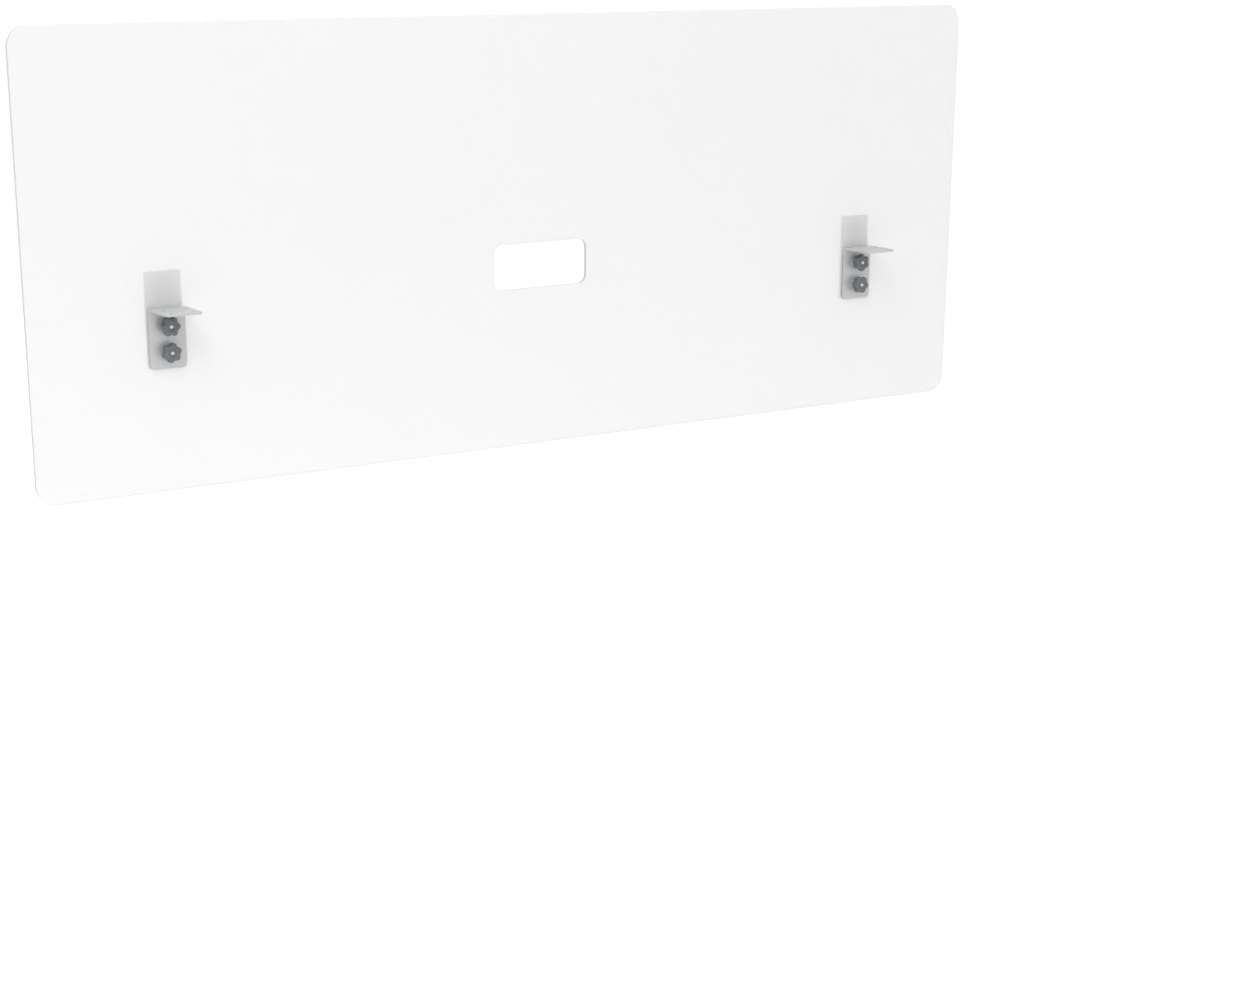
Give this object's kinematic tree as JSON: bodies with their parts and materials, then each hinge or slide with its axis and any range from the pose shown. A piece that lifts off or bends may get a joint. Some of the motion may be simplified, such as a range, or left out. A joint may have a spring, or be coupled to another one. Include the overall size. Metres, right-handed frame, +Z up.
{
  "type": "desk privacy panel",
  "caption": "Frosted acrylic desk privacy and modesty panel with rounded corners and a central cable slot, clamped behind the desktop by steel brackets with hand knobs.",
  "frame": {"origin": "the middle of the desktop's top rear edge, on the front face of the sheet", "axes": "+X along the sheet to the user's right, +Y away from the user through the sheet, +Z up"},
  "size_m": [1.512, 0.0764, 0.597],
  "materials": {
    "frosted_acrylic": "satin frosted, translucent, with polished edges",
    "powder_coated_steel": "satin silver-grey powder coat",
    "zinc_plated_steel": "bright zinc plate",
    "black_rubber": "matte",
    "grey_rubber": "matte",
    "white_nylon": "satin",
    "knob_plastic": "fine moulded texture",
    "brass_insert": "turned"
  },
  "bodies": {
    "brackets": {"left_angle_bracket": "powder_coated_steel", "left_bracket_pad": "black_rubber", "right_angle_bracket": "powder_coated_steel", "right_bracket_pad": "black_rubber"},
    "panel": {"privacy_panel": "frosted_acrylic", "left_clamp_plate": "powder_coated_steel", "left_plate_bumper": "grey_rubber", "right_clamp_plate": "powder_coated_steel", "right_plate_bumper": "grey_rubber", "left_upper_bushing": "white_nylon", "left_upper_carriage_bolt": "zinc_plated_steel", "left_lower_bushing": "white_nylon", "left_lower_carriage_bolt": "zinc_plated_steel", "right_upper_bushing": "white_nylon", "right_upper_carriage_bolt": "zinc_plated_steel", "right_lower_bushing": "white_nylon", "right_lower_carriage_bolt": "zinc_plated_steel"},
    "washer_left_upper": {"left_upper_washer": "zinc_plated_steel"},
    "knob_left_upper": {"left_upper_knob": "knob_plastic", "left_upper_knob_insert": "brass_insert"},
    "washer_left_lower": {"left_lower_washer": "zinc_plated_steel"},
    "knob_left_lower": {"left_lower_knob": "knob_plastic", "left_lower_knob_insert": "brass_insert"},
    "washer_right_upper": {"right_upper_washer": "zinc_plated_steel"},
    "knob_right_upper": {"right_upper_knob": "knob_plastic", "right_upper_knob_insert": "brass_insert"},
    "washer_right_lower": {"right_lower_washer": "zinc_plated_steel"},
    "knob_right_lower": {"right_lower_knob": "knob_plastic", "right_lower_knob_insert": "brass_insert"}
  },
  "joints": [
    {"name": "panel_height", "type": "slide", "parent": "brackets", "child": "panel", "axis": [0, 0, 1], "range_m": [-0.005, 0.005]},
    {"name": "knob_travel_left_upper", "type": "slide", "parent": "panel", "child": "washer_left_upper", "axis": [0, -1, 0], "range_m": [0, 0.0062]},
    {"name": "knob_turn_left_upper", "type": "hinge", "parent": "washer_left_upper", "child": "knob_left_upper", "pos_m": [-0.5687, -0.0056, -0.052], "axis": [0, -1, 0], "range_deg": [0, 2160]},
    {"name": "knob_travel_left_lower", "type": "slide", "parent": "panel", "child": "washer_left_lower", "axis": [0, -1, 0], "range_m": [0, 0.0062]},
    {"name": "knob_turn_left_lower", "type": "hinge", "parent": "washer_left_lower", "child": "knob_left_lower", "pos_m": [-0.5687, -0.0056, -0.086], "axis": [0, -1, 0], "range_deg": [0, 2160]},
    {"name": "knob_travel_right_upper", "type": "slide", "parent": "panel", "child": "washer_right_upper", "axis": [0, -1, 0], "range_m": [0, 0.0062]},
    {"name": "knob_turn_right_upper", "type": "hinge", "parent": "washer_right_upper", "child": "knob_right_upper", "pos_m": [0.5687, -0.0056, -0.052], "axis": [0, -1, 0], "range_deg": [0, 2160]},
    {"name": "knob_travel_right_lower", "type": "slide", "parent": "panel", "child": "washer_right_lower", "axis": [0, -1, 0], "range_m": [0, 0.0062]},
    {"name": "knob_turn_right_lower", "type": "hinge", "parent": "washer_right_lower", "child": "knob_right_lower", "pos_m": [0.5687, -0.0056, -0.086], "axis": [0, -1, 0], "range_deg": [0, 2160]}
  ],
  "couplings": [
    {"joint": "knob_travel_left_upper", "follows": "knob_turn_left_upper", "m_per_rad": 0.00015915},
    {"joint": "knob_travel_left_lower", "follows": "knob_turn_left_lower", "m_per_rad": 0.00015915},
    {"joint": "knob_travel_right_upper", "follows": "knob_turn_right_upper", "m_per_rad": 0.00015915},
    {"joint": "knob_travel_right_lower", "follows": "knob_turn_right_lower", "m_per_rad": 0.00015915}
  ]
}
